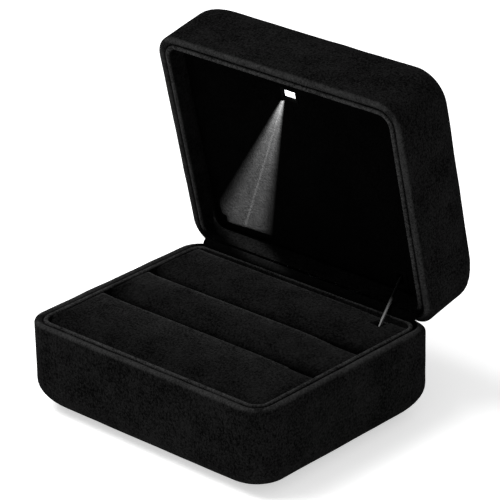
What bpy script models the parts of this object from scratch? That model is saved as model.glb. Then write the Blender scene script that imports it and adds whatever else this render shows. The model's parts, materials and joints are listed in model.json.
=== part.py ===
"""Ring box for two rings, standing open, with a lamp in the lid that lights when the lid opens.

Frame: metres, +Z up, origin at the centre of the underside, the opening faces -Y, the hinge is at +Y.
Every piece is laid out as if the lid were closed. The lid's pieces are children of an empty on the
hinge axis, and that empty is turned back to the open angle.
"""

import math

import bmesh
import bpy
from mathutils import Matrix, Vector

MM = 0.001

# ---- driving dimensions -------------------------------------------------------------------------

WIDTH = 85 * MM
DEPTH = 70 * MM
PARTING_HEIGHT = 26.2 * MM
CLOSED_HEIGHT = 51.3 * MM
OPEN_ANGLE = math.radians(77.65)
HINGE_INSET = 2.7 * MM

# Plan corners: the radius grows as the section draws in over an edge, like a pillow's corner.
CORNER_RADIUS = 7.1 * MM
CORNER_GROWTH = 0.55
CORNER_SEGMENTS = 6

BASE_EDGE_FILLET = 8.7 * MM
LID_EDGE_FILLET = 10 * MM
RIM_FILLET = 2.4 * MM
EDGE_SEGMENTS = 4

GAP = 0.3 * MM
RIM_GAP = 0.15 * MM
VELVET = 0.6 * MM
SHELL_WALL = 1.2 * MM
SHEET_METAL = 0.6 * MM
CARD = 1.4 * MM

# ---- places worked out from them ----------------------------------------------------------------

HINGE_Y = DEPTH / 2 - HINGE_INSET
HINGE_AXIS = Vector((0, HINGE_Y, PARTING_HEIGHT))
BASE_HEIGHT = PARTING_HEIGHT - RIM_GAP
LID_HEIGHT = CLOSED_HEIGHT - PARTING_HEIGHT - RIM_GAP

SHELL_OUTSIDE = VELVET + GAP
SHELL_INSIDE = SHELL_OUTSIDE + SHELL_WALL
LINER_OUTSIDE = SHELL_INSIDE + GAP
LINER_INSIDE = LINER_OUTSIDE + CARD
LIP_ROUNDING = 0.7 * MM
REAR_LINER_OUTSIDE = 3 * MM
REAR_LINER_INSIDE = 5.1 * MM
LINER_REAR_FACE = DEPTH / 2 - REAR_LINER_INSIDE

# Behind the axis both rims fall away, so that the open lid's rim clears the base's rim.
RELIEF_ANGLE = OPEN_ANGLE / 2 + math.radians(0.7)
RELIEF_CLEARANCE = 0.19 * MM

UNDERSIDE_OPENING = 16 * MM
BOARD_BOTTOM = 6.2 * MM
BOARD_THICKNESS = 1.4 * MM
BOARD_INSET = 3 * MM
BOARD_CORNER_DRAW_IN = 0.65 * MM
PAD_BOTTOM = BOARD_BOTTOM + BOARD_THICKNESS + GAP
PAD_CREST = 24.9 * MM
PAD_FRONT_DROP = 1.4 * MM
PAD_END_DROP = 1.4 * MM
PAD_HALF_LENGTH = WIDTH / 2 - LINER_INSIDE - GAP
PAD_CORNER_RADIUS = CORNER_RADIUS - LINER_INSIDE - GAP
SLOT_WIDTH = 4.3 * MM
INSERT_FRONT = -DEPTH / 2 + LINER_INSIDE + GAP
INSERT_REAR = 27 * MM
FRONT_CREST = -7.8 * MM
MIDDLE_CREST = 9.75 * MM

BARREL_RADIUS = 1.1 * MM
BARREL_BORE = 0.65 * MM
PIN_RADIUS = 0.45 * MM
HINGE_LENGTH = 40 * MM
KNUCKLES = 5
LEAF_DROP = 9.2 * MM
COVER_INNER_RADIUS = 1.4 * MM
COVER_OUTER_RADIUS = 1.9 * MM
BARREL_CLEARANCE = 1.5 * MM
HINGE_COVER_CLEARANCE = 2.2 * MM
HINGE_COVER_LENGTH = 76 * MM
COVER_ARC_START = math.radians(112)
COVER_ARC_END = math.radians(248)
LEAF_POCKET_INSET = 3.9 * MM
RIVET_SPREAD = 15 * MM
RIVET_HEIGHT_OFFSET = 6.2 * MM
RIVET_HOLE_RADIUS = 0.85 * MM
RIVET_SHANK_RADIUS = 0.6 * MM
RIVET_HEAD_RADIUS = 1.3 * MM
RIVET_DOME = 0.45 * MM
RIVET_CLEARANCE = 0.05 * MM

PANEL_DEPTH = 5 * MM
PANEL_THICKNESS = 1.6 * MM
PANEL_FRONT = PARTING_HEIGHT + RIM_GAP + PANEL_DEPTH
PANEL_BACK = PANEL_FRONT + PANEL_THICKNESS

# The rod turns in the base and slides through the lid at a point as far from the axis as its own
# pivot, so its angle is always half the lid's.
ROD_X = 29.5 * MM
ROD_PIVOT_Y = 25.9 * MM
ROD_PIVOT_DROP = 3.7 * MM
ROD_PIVOT = Vector((ROD_X, ROD_PIVOT_Y, PARTING_HEIGHT - ROD_PIVOT_DROP))
ROD_LENGTH = 16.6 * MM
ROD_RADIUS = 0.4 * MM
ROD_REST_TURN = -OPEN_ANGLE / 2
ROD_BEND_RADIUS = 0.8 * MM
ROD_LEG = 2.1 * MM
GUIDE_HALF_WIDTH = 2.3 * MM
GUIDE_FRONT_REACH = 3.5 * MM
GUIDE_REAR_REACH = 2 * MM
GUIDE_WALL = 0.7 * MM
GUIDE_FLANGE = 0.3 * MM
GUIDE_TOP = PARTING_HEIGHT + 14.1 * MM
SWITCH_SIDE = 6 * MM
SWITCH_HEIGHT = 5 * MM
SWITCH_BORE_DEPTH = 3.6 * MM
PLUNGER_TRAVEL = 1.1 * MM
PLUNGER_RADIUS = 1 * MM
PLUNGER_TIP = ROD_PIVOT.z + ROD_LENGTH + GAP - PLUNGER_TRAVEL

LAMP_CENTRE = Vector((0, -24.6 * MM, 0))
LAMP_WINDOW = (4.5 * MM, 2.6 * MM)
LAMP_BEZEL = 0.6 * MM
LAMP_RECESS = 0.5 * MM
CHIP_SPREAD = 1.1 * MM
CHIP_SIZE = (2 * MM, 2.1 * MM)
LAMP_BOARD_FRONT = PANEL_BACK + 0.9 * MM
CELL_CENTRE = Vector((-4 * MM, 4 * MM, 0))
CELL_RADIUS = 10 * MM
CELL_THICKNESS = 3.2 * MM
WIRE_RADIUS = 0.45 * MM

# ---- materials ----------------------------------------------------------------------------------

FINISHES = {
    "velvet": ((0.012, 0.012, 0.013), 0.95, 0.0),
    "shell_plastic": ((0.05, 0.05, 0.055), 0.5, 0.0),
    "black_plastic": ((0.02, 0.02, 0.02), 0.4, 0.0),
    "card": ((0.18, 0.16, 0.14), 0.9, 0.0),
    "steel": ((0.6, 0.6, 0.62), 0.3, 1.0),
    "circuit_board": ((0.02, 0.12, 0.05), 0.5, 0.0),
    "lamp_lens": ((0.9, 0.92, 0.95), 0.15, 0.0),
    "lamp_chip": ((1.0, 1.0, 0.95), 0.4, 0.0),
    "red_wire": ((0.5, 0.02, 0.02), 0.45, 0.0),
    "black_wire": ((0.02, 0.02, 0.02), 0.45, 0.0),
}


def make_material(name):
    """Return the Principled material of this name, made on first use."""
    material = bpy.data.materials.get(name)
    if material is None:
        colour, roughness, metallic = FINISHES[name]
        material = bpy.data.materials.new(name)
        material.use_nodes = True
        shader = material.node_tree.nodes["Principled BSDF"]
        shader.inputs["Base Color"].default_value = (*colour, 1.0)
        shader.inputs["Roughness"].default_value = roughness
        shader.inputs["Metallic"].default_value = metallic
        material.diffuse_color = (*colour, 1.0)
    return material


# ---- scene and object helpers -------------------------------------------------------------------

def clear_scene():
    """Remove every object of the open file."""
    for scene_object in list(bpy.data.objects):
        bpy.data.objects.remove(scene_object, do_unlink=True)


def make_collection(name):
    """Return a new collection linked to the scene."""
    collection = bpy.data.collections.new(name)
    bpy.context.scene.collection.children.link(collection)
    return collection


def add_part(name, mesh, finish, frame, smooth=True):
    """Wrap a mesh, drawn in closed-box coordinates, as a named piece that hangs on a frame empty."""
    mesh.name = name
    part = bpy.data.objects.new(name, mesh)
    PARTS.objects.link(part)
    part.parent = frame
    part.location = -Vector(frame["closed_position"])
    mesh.materials.clear()
    mesh.materials.append(make_material(finish))
    if smooth:
        mesh.shade_smooth()
        mesh.set_sharp_from_angle(angle=math.radians(35))
    return part


def add_frame(name, closed_position, turn=0.0, parent=None):
    """Add an empty at a closed-box position, turned about X, that carries a group of pieces."""
    frame = bpy.data.objects.new(name, None)
    frame.empty_display_size = 5 * MM
    PARTS.objects.link(frame)
    frame["closed_position"] = tuple(closed_position)
    frame.parent = parent
    origin = Vector(parent["closed_position"]) if parent else Vector((0, 0, 0))
    frame.location = Vector(closed_position) - origin
    frame.rotation_euler = (turn, 0, 0)
    return frame


def mesh_from(build):
    """Make a mesh from a function that fills a bmesh, with its faces pointing out."""
    shape = bmesh.new()
    build(shape)
    bmesh.ops.recalc_face_normals(shape, faces=shape.faces)
    mesh = bpy.data.meshes.new("shape")
    shape.to_mesh(mesh)
    shape.free()
    return mesh


def box_mesh(low, high):
    """A box between two corners."""
    low, high = Vector(low), Vector(high)

    def build(shape):
        size = high - low
        place = Matrix.Translation((low + high) / 2) @ Matrix.Diagonal((*size, 1))
        bmesh.ops.create_cube(shape, size=1, matrix=place)

    return mesh_from(build)


def rod_mesh(start, end, radius, segments=16):
    """A plain round bar between two points."""
    start, end = Vector(start), Vector(end)

    def build(shape):
        direction = end - start
        turn = direction.to_track_quat("Z", "Y").to_matrix().to_4x4()
        place = Matrix.Translation((start + end) / 2) @ turn
        bmesh.ops.create_cone(shape, cap_ends=True, segments=segments, radius1=radius, radius2=radius,
                              depth=direction.length, matrix=place)

    return mesh_from(build)


def add_cutter(mesh):
    """Wrap a mesh as a hidden cutting body in closed-box coordinates."""
    cutter = bpy.data.objects.new("cutter", mesh)
    CUTTERS.objects.link(cutter)
    cutter.hide_render = True
    cutter.display_type = "WIRE"
    return cutter


def combine(part, mesh, operation="DIFFERENCE"):
    """Cut a closed-box mesh from a piece, or join one to it, with an exact Boolean."""
    cutter = add_cutter(mesh)
    cutter.parent = part
    modifier = part.modifiers.new(operation.lower(), "BOOLEAN")
    modifier.operation = operation
    modifier.solver = "EXACT"
    modifier.object = cutter
    return part


# ---- rounded half-boxes -------------------------------------------------------------------------

class Station:
    """One rounded-rectangle section of a half-box.

    draw_in is how far the outer form has drawn in over an edge, which also opens its corners, and
    offset is how far this surface lies inside the outer form. height runs from the closed face of
    the half to its rim. rear, where given, limits how far back the section reaches.
    """

    def __init__(self, draw_in, offset, height, rear=None):
        self.draw_in = draw_in
        self.offset = offset
        self.height = height
        self.rear = rear

    def points(self):
        """The section's corners and arcs, anticlockwise, as (x, y) pairs."""
        inset = self.draw_in + self.offset
        half_width = WIDTH / 2 - inset
        front = -DEPTH / 2 + inset
        rear = DEPTH / 2 - inset
        if self.rear is not None:
            rear = min(rear, self.rear)
        radius = CORNER_RADIUS + CORNER_GROWTH * self.draw_in - self.offset
        radius = max(radius, LIP_ROUNDING)
        corners = [(1, rear, 0), (-1, rear, 1), (-1, front, 2), (1, front, 3)]
        outline = []
        for side, edge_y, quarter in corners:
            centre_x = side * (half_width - radius)
            centre_y = edge_y - radius if edge_y > 0 else edge_y + radius
            for step in range(CORNER_SEGMENTS + 1):
                angle = math.radians(90) * (quarter + step / CORNER_SEGMENTS)
                outline.append((centre_x + radius * math.cos(angle),
                                centre_y + radius * math.sin(angle)))
        return outline


def loft_mesh(stations, to_z, ring=False):
    """Skin a list of stations. A ring joins its last station to its first, others get flat caps."""

    def build(shape):
        rows = []
        for station in stations:
            height = to_z(station.height)
            rows.append([shape.verts.new((x, y, height)) for x, y in station.points()])
        pairs = list(zip(rows, rows[1:]))
        if ring:
            pairs.append((rows[-1], rows[0]))
        count = len(rows[0])
        for lower, upper in pairs:
            for index in range(count):
                following = (index + 1) % count
                shape.faces.new((lower[index], lower[following], upper[following], upper[index]))
        if not ring:
            shape.faces.new(rows[0])
            shape.faces.new(rows[-1])

    return mesh_from(build)


def base_z(height):
    """Height above the base's underside to closed-box z."""
    return height


def lid_z(height):
    """Distance below the lid's top to closed-box z."""
    return CLOSED_HEIGHT - height


def relief_limit(height, rim_height, offset):
    """The furthest back that a surface at this height may reach near the hinge."""
    below_axis = rim_height + RIM_GAP - height
    slack = RELIEF_CLEARANCE + offset / math.cos(RELIEF_ANGLE)
    return HINGE_Y + (below_axis - slack) / math.tan(RELIEF_ANGLE)


def closed_edge(fillet, offset):
    """Stations round the edge between the closed face and the wall, at an offset inside."""
    stations = []
    for step in range(EDGE_SEGMENTS + 1):
        angle = math.radians(90) * step / EDGE_SEGMENTS
        draw_in = fillet * (1 - math.sin(angle))
        height = fillet * (1 - math.cos(angle)) + offset * math.cos(angle)
        stations.append(Station(draw_in, offset * math.sin(angle), height))
    return stations


def rim_edge(rim_height, offset):
    """Stations round the rim's outer edge, from the wall to the seam beside the liner."""
    radius = RIM_FILLET - offset
    last_angle = math.acos((RIM_FILLET - SHELL_INSIDE) / radius)
    stations = []
    for step in range(EDGE_SEGMENTS + 1):
        angle = last_angle * step / EDGE_SEGMENTS
        inset = offset + radius * (1 - math.cos(angle))
        height = rim_height - RIM_FILLET + radius * math.sin(angle)
        stations.append(Station(0, inset, height, relief_limit(height, rim_height, offset)))
    return stations


def cover_mesh(rim_height, fillet, to_z, opening=None):
    """The velvet skin of one half: over the wall and the rim's edge, open underneath if asked."""
    outer = closed_edge(fillet, 0) + rim_edge(rim_height, 0)
    inner = closed_edge(fillet, VELVET) + rim_edge(rim_height, VELVET)
    stations = outer + inner[::-1]
    if opening is None:
        return loft_mesh(stations, to_z)
    extra = opening - fillet
    inside_edge = Station(fillet, extra, VELVET)
    outside_edge = Station(fillet, extra, 0)
    return loft_mesh(stations + [inside_edge, outside_edge], to_z, ring=True)


def shell_mesh(rim_height, fillet, to_z):
    """The moulded tub of one half, whose wall ends under the velvet's turned edge."""
    outer = closed_edge(fillet, SHELL_OUTSIDE)
    radius = RIM_FILLET - SHELL_OUTSIDE
    for step in range(3):
        angle = math.radians(15) * step
        height = rim_height - RIM_FILLET + radius * math.sin(angle)
        outer.append(Station(0, SHELL_OUTSIDE + radius * (1 - math.cos(angle)), height,
                             relief_limit(height, rim_height, SHELL_OUTSIDE)))
    inner_top = Station(0, SHELL_INSIDE, outer[-1].height)
    return loft_mesh(outer + [inner_top] + closed_edge(fillet, SHELL_INSIDE)[::-1], to_z)


def prism_mesh(profile, x_high, x_low):
    """A (y, z) outline drawn out along X."""

    def build(shape):
        rows = [[shape.verts.new((x, y, z)) for y, z in profile] for x in (x_low, x_high)]
        count = len(profile)
        for index in range(count):
            following = (index + 1) % count
            shape.faces.new((rows[0][index], rows[0][following], rows[1][following], rows[1][index]))
        shape.faces.new(rows[0])
        shape.faces.new(rows[1])

    return mesh_from(build)


def liner_mesh(rim_height, foot_height, to_z):
    """The frame inside one half, with a rounded lip at the rim."""

    def station(inset, height):
        """One liner section; the rear wall stands further in than the other three."""
        share = (inset - LINER_OUTSIDE) / CARD
        rear_inset = REAR_LINER_OUTSIDE + share * (REAR_LINER_INSIDE - REAR_LINER_OUTSIDE)
        return Station(0, inset, height, rear=DEPTH / 2 - rear_inset)

    outer_rim = rim_height - RIM_FILLET + math.sqrt(RIM_FILLET ** 2 - (RIM_FILLET - LINER_OUTSIDE) ** 2)
    lip_inset = LINER_INSIDE - LIP_ROUNDING
    stations = [station(LINER_INSIDE, foot_height), station(LINER_OUTSIDE, foot_height)]
    stations.append(station(LINER_OUTSIDE, outer_rim))
    for step in range(EDGE_SEGMENTS):
        angle = math.radians(90) * step / (EDGE_SEGMENTS - 1)
        inset = lip_inset + LIP_ROUNDING * math.sin(angle)
        stations.append(station(inset, rim_height - LIP_ROUNDING * (1 - math.cos(angle))))
    return loft_mesh(stations, to_z, ring=True)


def slab_mesh(draw_in, inset, low, high, rear=None):
    """A flat sheet that fills the plan inside an inset."""
    stations = [Station(draw_in, inset - draw_in, height, rear) for height in (low, high)]
    return loft_mesh(stations, base_z)


# ---- base ---------------------------------------------------------------------------------------

def build_base_halves(base):
    """Cover, shell and liner of the base, and the plate that closes the underside."""
    cover = add_part("base_cover", cover_mesh(BASE_HEIGHT, BASE_EDGE_FILLET, base_z, UNDERSIDE_OPENING),
                     "velvet", base)
    combine(cover, barrel_cutter(BARREL_CLEARANCE))
    shell = add_part("base_shell", shell_mesh(BASE_HEIGHT, BASE_EDGE_FILLET, base_z),
                     "shell_plastic", base)
    combine(shell, barrel_cutter(BARREL_CLEARANCE))
    liner = add_part("base_liner", liner_mesh(BASE_HEIGHT, PAD_BOTTOM, base_z), "velvet", base)
    combine(liner, barrel_cutter(HINGE_COVER_CLEARANCE, HINGE_COVER_LENGTH))
    combine(liner, leaf_pocket(-1))
    plate = slab_mesh(BASE_EDGE_FILLET, UNDERSIDE_OPENING + GAP, 0, VELVET)
    add_part("underside_plate", plate, "velvet", base)


def pad_profile(front, crest, drop):
    """Side outline of a ring pad: it rises from a round front to its crest, then falls into a slot."""
    top = PAD_CREST - drop
    front_top = top - PAD_FRONT_DROP
    round_front = 3 * MM
    round_crest = 1.2 * MM
    outline = [(front, PAD_BOTTOM), (crest, PAD_BOTTOM)]
    for step in range(4):
        angle = math.radians(30 * step)
        outline.append((crest - round_crest * (1 - math.cos(angle)),
                        top - round_crest * (1 - math.sin(angle))))
    for step in range(4):
        angle = math.radians(90 + 30 * step)
        outline.append((front + round_front * (1 + math.cos(angle)),
                        front_top - round_front * (1 - math.sin(angle))))
    return outline


def corner_shift(x):
    """How far the liner's rounded front corner pushes a pad's front edge back at x."""
    reach = abs(x) - (PAD_HALF_LENGTH - PAD_CORNER_RADIUS)
    if reach <= 0:
        return 0.0
    return PAD_CORNER_RADIUS - math.sqrt(max(PAD_CORNER_RADIUS ** 2 - reach ** 2, 0))


def pad_mesh(front, crest):
    """A ring pad lofted along X: full in the middle, lower at its two ends."""
    ends = [(1.0, 1.0), (0.965, 0.35), (0.88, 0.0)]
    shares = [(-share, drop) for share, drop in ends] + [(share, drop) for share, drop in ends[::-1]]

    def build(shape):
        rows = []
        for share, drop in shares:
            x = share * PAD_HALF_LENGTH
            start = front + corner_shift(x) if front == INSERT_FRONT else front
            profile = pad_profile(start, crest, drop * PAD_END_DROP)
            rows.append([shape.verts.new((x, y, z)) for y, z in profile])
        count = len(rows[0])
        for left, right in zip(rows, rows[1:]):
            for index in range(count):
                following = (index + 1) % count
                shape.faces.new((left[index], left[following], right[following], right[index]))
        shape.faces.new(rows[0])
        shape.faces.new(rows[-1])

    return mesh_from(build)


def build_insert(base):
    """The insert board and the three pads, with a ring slot between each two."""
    board = slab_mesh(BOARD_CORNER_DRAW_IN, BOARD_INSET, BOARD_BOTTOM, BOARD_BOTTOM + BOARD_THICKNESS)
    add_part("insert_board", board, "card", base, smooth=False)
    pads = {
        "ring_pad_front": (INSERT_FRONT, FRONT_CREST),
        "ring_pad_middle": (FRONT_CREST + SLOT_WIDTH, MIDDLE_CREST),
        "ring_pad_rear": (MIDDLE_CREST + SLOT_WIDTH, INSERT_REAR),
    }
    for name, (front, crest) in pads.items():
        add_part(name, pad_mesh(front, crest), "velvet", base)
    notch_low = (ROD_X - 2.1 * MM, ROD_PIVOT_Y - 1.4 * MM, 0)
    notch_high = (ROD_X + 2.5 * MM, INSERT_REAR + 1 * MM, PARTING_HEIGHT)
    combine(PARTS.objects["ring_pad_rear"], box_mesh(notch_low, notch_high))


# ---- hinge --------------------------------------------------------------------------------------

def barrel_cutter(radius, length=HINGE_LENGTH):
    """A bar on the hinge axis that clears the barrel, or the strip over it."""
    half = length / 2 + GAP
    return rod_mesh((-half, HINGE_Y, PARTING_HEIGHT), (half, HINGE_Y, PARTING_HEIGHT), radius, 24)


def leaf_pocket(sign):
    """The room behind a liner's rear wall for a hinge leaf and its rivet heads."""
    half = HINGE_LENGTH / 2 + GAP
    face = DEPTH / 2 - LEAF_POCKET_INSET
    near = PARTING_HEIGHT
    far = PARTING_HEIGHT + sign * (LEAF_DROP + 2 * BARREL_RADIUS)
    return box_mesh((-half, face, min(near, far)), (half, DEPTH / 2, max(near, far)))


def knuckle_spans():
    """The knuckles' (low, high) ends along X."""
    pitch = HINGE_LENGTH / KNUCKLES
    edges = [-HINGE_LENGTH / 2 + pitch * index for index in range(KNUCKLES)]
    return [(edge + GAP / 2, edge + pitch - GAP / 2) for edge in edges]


def rivet_places():
    """Where the rivets of a leaf stand along X."""
    return (-RIVET_SPREAD, 0.0, RIVET_SPREAD)


def build_leaf(name, frame, sign, own_knuckles):
    """A sheet leaf that hangs from its knuckles: sign -1 is the base's, +1 the lid's."""
    half_sheet = SHEET_METAL / 2
    clear_edge = PARTING_HEIGHT + sign * (BARREL_RADIUS + GAP)
    far_edge = PARTING_HEIGHT + sign * LEAF_DROP
    low, high = sorted((clear_edge, far_edge))
    plate = box_mesh((-HINGE_LENGTH / 2, HINGE_Y - half_sheet, low),
                     (HINGE_LENGTH / 2, HINGE_Y + half_sheet, high))
    leaf = add_part(name, plate, "steel", frame, smooth=False)
    tab_edge = PARTING_HEIGHT + sign * (BARREL_RADIUS + BARREL_BORE) / 2
    tab_low, tab_high = sorted((tab_edge, clear_edge + sign * GAP))
    for start, end in own_knuckles:
        tab = box_mesh((start, HINGE_Y - half_sheet, tab_low), (end, HINGE_Y + half_sheet, tab_high))
        combine(leaf, tab, "UNION")
        barrel = rod_mesh((start, HINGE_Y, PARTING_HEIGHT), (end, HINGE_Y, PARTING_HEIGHT), BARREL_RADIUS)
        combine(leaf, barrel, "UNION")
    length = HINGE_LENGTH / 2 + GAP
    bore = rod_mesh((-length, HINGE_Y, PARTING_HEIGHT), (length, HINGE_Y, PARTING_HEIGHT), BARREL_BORE)
    combine(leaf, bore)
    rivet_z = PARTING_HEIGHT + sign * RIVET_HEIGHT_OFFSET
    for x in rivet_places():
        hole = rod_mesh((x, HINGE_Y - MM, rivet_z), (x, HINGE_Y + MM, rivet_z), RIVET_HOLE_RADIUS)
        combine(leaf, hole)


def rivet_mesh(head, tail):
    """A domed rivet turned about the line from its head to its tail."""
    head, tail = Vector(head), Vector(tail)
    length = (tail - head).length
    outline = [(0, -RIVET_DOME), (0.7 * RIVET_HEAD_RADIUS, -0.75 * RIVET_DOME), (RIVET_HEAD_RADIUS, 0),
               (RIVET_SHANK_RADIUS, 0), (RIVET_SHANK_RADIUS, length), (0, length)]

    def build(shape):
        profile = [shape.verts.new((radius, 0, along)) for radius, along in outline]
        edges = [shape.edges.new(pair) for pair in zip(profile, profile[1:])]
        bmesh.ops.spin(shape, geom=profile + edges, cent=(0, 0, 0), axis=(0, 0, 1),
                       angle=math.radians(360), steps=12)
        bmesh.ops.remove_doubles(shape, verts=shape.verts, dist=0.01 * MM)
        turn = (tail - head).to_track_quat("Z", "Y").to_matrix().to_4x4()
        bmesh.ops.transform(shape, matrix=Matrix.Translation(head) @ turn, verts=shape.verts)

    return mesh_from(build)


def build_rivets(prefix, frame, sign, shell):
    """Rivets through a leaf and the shell's rear wall."""
    z = PARTING_HEIGHT + sign * RIVET_HEIGHT_OFFSET
    head_y = HINGE_Y - SHEET_METAL / 2 - RIVET_CLEARANCE
    tail_y = DEPTH / 2 - SHELL_OUTSIDE - 2 * RIVET_CLEARANCE
    for number, x in enumerate(rivet_places(), start=1):
        combine(shell, rod_mesh((x, HINGE_Y, z), (x, DEPTH / 2, z), RIVET_HOLE_RADIUS))
        add_part(f"{prefix}_{number}", rivet_mesh((x, head_y, z), (x, tail_y, z)), "steel", frame)


def build_hinge_cover(base):
    """A half-round velvet strip that hides the barrel and closes the joint between the linings."""
    outline = []
    steps = 8
    arc = [COVER_ARC_START + (COVER_ARC_END - COVER_ARC_START) * step / steps for step in range(steps + 1)]
    for radius, angles in ((COVER_OUTER_RADIUS, arc), (COVER_INNER_RADIUS, arc[::-1])):
        for angle in angles:
            outline.append((HINGE_Y + radius * math.cos(angle), PARTING_HEIGHT + radius * math.sin(angle)))
    strip = prism_mesh(outline, HINGE_COVER_LENGTH / 2, -HINGE_COVER_LENGTH / 2)
    add_part("hinge_cover", strip, "velvet", base)


def build_hinge(base, lid):
    """Both leaves, the pin, the rivets and the strip over the barrel."""
    spans = knuckle_spans()
    build_leaf("hinge_leaf_base", base, -1, spans[0::2])
    build_leaf("hinge_leaf_lid", lid, 1, spans[1::2])
    half = HINGE_LENGTH / 2
    pin = rod_mesh((-half, HINGE_Y, PARTING_HEIGHT), (half, HINGE_Y, PARTING_HEIGHT), PIN_RADIUS)
    add_part("hinge_pin", pin, "steel", base)
    build_rivets("hinge_rivet_base", base, -1, PARTS.objects["base_shell"])
    build_rivets("hinge_rivet_lid", lid, 1, PARTS.objects["lid_shell"])
    build_hinge_cover(base)


# ---- switch rod ---------------------------------------------------------------------------------

def tube_mesh(points, radius):
    """A round wire with filled caps through a list of points, as a closed mesh."""
    curve = bpy.data.curves.new("wire", "CURVE")
    curve.dimensions = "3D"
    curve.bevel_depth = radius
    curve.bevel_resolution = 2
    curve.use_fill_caps = True
    spline = curve.splines.new("POLY")
    spline.points.add(len(points) - 1)
    for control, point in zip(spline.points, points):
        control.co = (*point, 1)
    wire = bpy.data.objects.new("wire", curve)
    PARTS.objects.link(wire)
    evaluated = wire.evaluated_get(bpy.context.evaluated_depsgraph_get())
    mesh = bpy.data.meshes.new_from_object(evaluated)
    bpy.data.objects.remove(wire, do_unlink=True)
    bpy.data.curves.remove(curve)
    shape = bmesh.new()
    shape.from_mesh(mesh)
    bmesh.ops.remove_doubles(shape, verts=shape.verts, dist=0.01 * MM)
    bmesh.ops.recalc_face_normals(shape, faces=shape.faces)
    shape.to_mesh(mesh)
    shape.free()
    return mesh


def build_switch_rod(rod_frame):
    """The bent wire: a short leg that turns in the bracket, and the long rod that enters the lid."""
    points = [ROD_PIVOT + Vector((ROD_LEG, 0, 0))]
    for step in range(5):
        angle = math.radians(22.5 * step)
        bend = Vector((1 - math.sin(angle), 0, 1 - math.cos(angle)))
        points.append(ROD_PIVOT + ROD_BEND_RADIUS * bend)
    points.append(ROD_PIVOT + Vector((0, 0, ROD_LENGTH)))
    add_part("switch_rod", tube_mesh(points, ROD_RADIUS), "steel", rod_frame)


def build_rod_bracket(base):
    """A steel angle riveted to the liner, with one ear that the rod's leg turns in."""
    face = LINER_REAR_FACE - GAP
    z = ROD_PIVOT.z
    back_low = (ROD_X - 1.8 * MM, face - SHEET_METAL, z - 5 * MM)
    bracket = add_part("rod_bracket", box_mesh(back_low, (ROD_X + 1.7 * MM, face, z + 1.2 * MM)),
                       "steel", base, smooth=False)
    ear_low = (ROD_X + 1.1 * MM, ROD_PIVOT_Y - 1.2 * MM, z - 1.2 * MM)
    ear_high = (ROD_X + 1.7 * MM, face - SHEET_METAL / 2, z + 1.2 * MM)
    combine(bracket, box_mesh(ear_low, ear_high), "UNION")
    eye_start = ROD_PIVOT + Vector((0.5 * MM, 0, 0))
    combine(bracket, rod_mesh(eye_start, ROD_PIVOT + Vector((3 * MM, 0, 0)), 0.6 * MM))
    rivet_z = z - 3.4 * MM
    rivet_x = ROD_X - 0.1 * MM
    head = (rivet_x, face - SHEET_METAL - 0.05 * MM, rivet_z)
    tail = (rivet_x, LINER_REAR_FACE + 1.8 * MM, rivet_z)
    for part in (bracket, PARTS.objects["base_liner"]):
        combine(part, rod_mesh((rivet_x, face - 2 * MM, rivet_z), (rivet_x, DEPTH / 2 - MM, rivet_z),
                               RIVET_HOLE_RADIUS))
    add_part("bracket_rivet", rivet_mesh(head, tail), "steel", base)


# ---- lid ----------------------------------------------------------------------------------------

def build_lid_halves(lid):
    """Cover, shell and liner of the lid."""
    cover = add_part("lid_cover", cover_mesh(LID_HEIGHT, LID_EDGE_FILLET, lid_z), "velvet", lid)
    combine(cover, barrel_cutter(BARREL_CLEARANCE))
    shell = add_part("lid_shell", shell_mesh(LID_HEIGHT, LID_EDGE_FILLET, lid_z), "shell_plastic", lid)
    combine(shell, barrel_cutter(BARREL_CLEARANCE))
    liner = add_part("lid_liner", liner_mesh(LID_HEIGHT, LID_EDGE_FILLET, lid_z), "velvet", lid)
    combine(liner, barrel_cutter(HINGE_COVER_CLEARANCE, HINGE_COVER_LENGTH))
    combine(liner, leaf_pocket(1))


def guide_extent(margin):
    """The rod guide's outer (low, high) corners in plan, grown by a margin."""
    low = (ROD_X - GUIDE_HALF_WIDTH - margin, ROD_PIVOT_Y - GUIDE_FRONT_REACH - margin)
    high = (ROD_X + GUIDE_HALF_WIDTH + margin, ROD_PIVOT_Y + GUIDE_REAR_REACH + margin)
    return low, high


def build_panel(lid):
    """The padded panel inside the lid, with holes for the lamp's bezel and the rod's guide."""
    sheet = slab_mesh(0, LINER_INSIDE + GAP, PANEL_FRONT, PANEL_BACK, LINER_REAR_FACE - GAP)
    panel = add_part("lid_panel", sheet, "velvet", lid, smooth=False)
    low, high = guide_extent(GAP)
    combine(panel, box_mesh((*low, PANEL_FRONT - MM), (*high, PANEL_BACK + MM)))
    margin = 2 * (LAMP_BEZEL + GAP)
    combine(panel, centred_box(LAMP_CENTRE, LAMP_WINDOW[0] + margin, LAMP_WINDOW[1] + margin,
                               PANEL_FRONT - MM, PANEL_BACK + MM))


def centred_box(centre, size_x, size_y, low, high):
    """A box centred in plan between two heights."""
    return box_mesh((centre.x - size_x / 2, centre.y - size_y / 2, low),
                    (centre.x + size_x / 2, centre.y + size_y / 2, high))


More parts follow.
